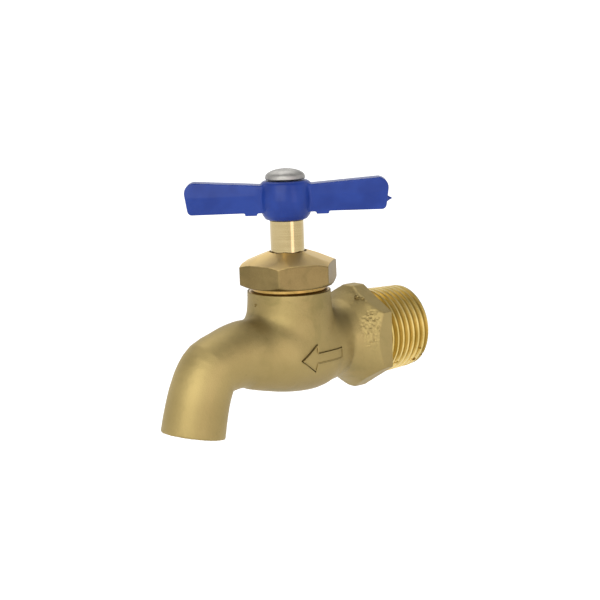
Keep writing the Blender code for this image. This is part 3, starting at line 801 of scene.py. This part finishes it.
def tHandle():
    outline = wingOutline()
    bpy.ops.object.select_all(action="DESELECT")
    bpy.ops.mesh.primitive_circle_add(vertices=len(outline), radius=mm, fill_type="NGON")
    piece = nameIt("tHandle")
    for vertex, (x, z) in zip(piece.data.vertices, outline):
        vertex.co = (x * mm, -handle["thick"] / 2 * mm, z * mm)
    bpy.ops.object.mode_set(mode="EDIT")
    bpy.ops.mesh.select_all(action="SELECT")
    bpy.ops.mesh.extrude_region_move(TRANSFORM_OT_translate={"value": (0, handle["thick"] * mm, 0)})
    closeShell()
    join(piece, turned("hub", handle["hub"]))
    castSkin(piece, handle["voxel"], 2)
    for vertex in piece.data.vertices:         # both halves of the mould taper away from the parting line
        x, y, z = vertex.co / mm
        wing = rise(*handle["wingFrom"], abs(x))
        slope = abs(z - handle["mid"]) / handle["halfHeight"]
        vertex.co.y *= 1 - wing * handle["draft"] * slope
        vertex.co.x += handle["shift"] * mm * rise(*handle["shiftFrom"], abs(x))
    bottom = handle["bottom"]
    softenWhere(piece, "edges", lambda at: rise(bottom - 0.1, bottom + 0.7, at.z), 6)
    softenWhere(piece, "root", lambda at: rise(8.2, 7.2, abs(at.x)) * rise(4.8, 5.6, abs(at.x))
                * rise(bottom, bottom + 1.5, at.z), 14)
    spur = turned("spur", handle["spur"], 16)
    join(piece, move(spur, (handle["reach"] - 0.25, 0, handle["spurHeight"]), (0, math.pi / 2, 0)))
    cut(piece, flatBar("tangSocket", stem["tang"] + 0.6, 30, stem["tangTop"] + 0.6, math.pi / 4, 4),
        turned("capHole", [(2.2, stem["tangTop"] - 1), (2.2, 42)], 48))
    move(piece, turn=(0, 0, handleTurn))
    move(piece, (0, stemY, 0))
    dress(piece, blueColour)
    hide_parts("t_handle")
    return finishPiece(piece, "spindle")


tHandle()


# handle screw

cap = {"radius": 4.8, "rim": 40.9, "top": 43.5, "shank": 1.9, "end": 30.6,
       "recess": (4.4, 0.95, 2.6), "recessFoot": (0.45, 0.75)}


def handleScrew():
    radius, rim, top = cap["radius"], cap["rim"], cap["top"]
    rings = [(cap["shank"] - 0.3, cap["end"]), (cap["shank"], cap["end"] + 0.3), (cap["shank"], rim),
             (radius - 0.2, rim), (radius, rim + 0.2), (radius, rim + 0.55)]
    crown = top - rim - 0.6
    for degrees in range(78, 0, -6):
        angle = math.radians(degrees)
        rings.append((radius * math.sin(angle), top - crown * (1 - math.cos(angle))))
    rings.append((0.05, top))
    piece = turned("handleScrew", rings, 96)
    for turn in (0, math.pi / 2):
        slot = block("recess", cap["recess"], (0, 0, 0))
        for vertex in slot.data.vertices:      # the recess narrows downwards
            if vertex.co.z < 0:
                vertex.co.x *= cap["recessFoot"][0]
                vertex.co.y *= cap["recessFoot"][1]
        move(slot, (0, 0, top - 0.1), (0, 0, handleTurn + turn))
        cut(piece, slot)
    move(piece, (0, stemY, 0))
    dress(piece, nickelColour)
    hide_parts("handle_screw")
    return finishPiece(piece, "spindle")


handleScrew()

innerColours = {"packing_washer": innerColour, "packing_ring": packingColour, "gland_ring": innerColour,
                "washer_holder": innerColour, "seat_washer": rubberColour, "washer_screw": innerColour}
for name, colour in innerColours.items():
    dress(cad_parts[name], colour)


# floor, light and camera

room = {                           # lengths here are in m
    "floorSize": 0.8, "floorDrop": 0.045,
    "floorGlow": 0.2,              # hides the floor's far edge
    "horizon": (1.3, 1.3, 1.3), "zenith": (0.42, 0.42, 0.43), "fade": (0.12, 0.75),
    "centre": Vector((0, -0.034, 0.011)),
    "lamps": (                     # round the object, up, away, wide, high, power, tint
        ("frontLamp", 28, 25, 0.7, 0.6, 0.6, 3.2, (1.0, 1.0, 0.98)),
        ("sideLamp", 86, 8, 0.7, 0.25, 0.5, 0.7, (1.0, 0.82, 0.92)),
        ("topLamp", 244, 63, 0.7, 0.5, 0.5, 2.2, (1.0, 1.0, 1.0))),
}


def wayTo(azimuth, rising):
    # from the object outwards; azimuth 0 is the spout's side
    turn, up = math.radians(azimuth), math.radians(rising)
    return Vector((math.sin(turn) * math.cos(up), -math.cos(turn) * math.cos(up), math.sin(up)))


def studio():
    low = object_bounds()[0][2]
    bpy.ops.object.select_all(action="DESELECT")
    bpy.ops.mesh.primitive_plane_add(size=room["floorSize"], location=(0, 0, low - room["floorDrop"]))
    floor = nameIt("floor")
    sheet = Sheet("paleFloor")
    pale = sheet.mix(sheet.noise(6, 2), (0.94, 0.94, 0.94), (0.98, 0.98, 0.98))
    floor.data.materials.append(sheet.paint(colour=pale, rough=0.9))
    sheet.feed(sheet.shader.inputs["Emission Color"], (1, 1, 1, 1))
    sheet.feed(sheet.shader.inputs["Emission Strength"], room["floorGlow"])
    world = bpy.data.worlds.new("softRoom")
    bpy.context.scene.world = world
    world.use_nodes = True
    sky = Sheet("sky", world)
    glow = sky.mix(sky.spread(sky.axes()[2], *room["fade"]), room["horizon"], room["zenith"])
    sky.feed(world.node_tree.nodes["Background"].inputs["Color"], glow)
    for name, azimuth, rising, away, wide, high, power, tint in room["lamps"]:
        lamp = bpy.data.lights.new(name, "AREA")
        lamp.shape, lamp.size, lamp.size_y = "RECTANGLE", wide, high
        lamp.energy, lamp.color = power, tint
        lampPiece = bpy.data.objects.new(name, lamp)
        bpy.context.scene.collection.objects.link(lampPiece)
        way = wayTo(azimuth, rising)
        lampPiece.location = room["centre"] + way * away
        lampPiece.rotation_euler = way.to_track_quat("Z", "Y").to_euler()


def placeCamera(azimuth, rising, away, target, lens, roll):
    turn = math.radians(azimuth)
    back = wayTo(azimuth, rising)
    right = Vector((math.cos(turn), math.sin(turn), 0))
    over = back.cross(right)
    camera = bpy.data.cameras.new("camera")
    camera.lens, camera.sensor_width = lens, 36
    camera.clip_start = 0.01
    cameraPiece = bpy.data.objects.new("camera", camera)
    bpy.context.scene.collection.objects.link(cameraPiece)
    axes = Matrix((right, over, back)).transposed().to_4x4() @ Matrix.Rotation(math.radians(roll), 4, "Z")
    cameraPiece.matrix_world = Matrix.Translation(Vector(target) * mm + back * away * mm) @ axes
    bpy.context.scene.camera = cameraPiece


view = {"azimuth": 50.6, "rising": 9.8, "away": 360, "target": (0, -33.9, 11.1), "lens": 88.62,
        "roll": -2.0}

studio()
placeCamera(**view)
bpy.context.scene.view_settings.view_transform = "Standard"
print("studio set")
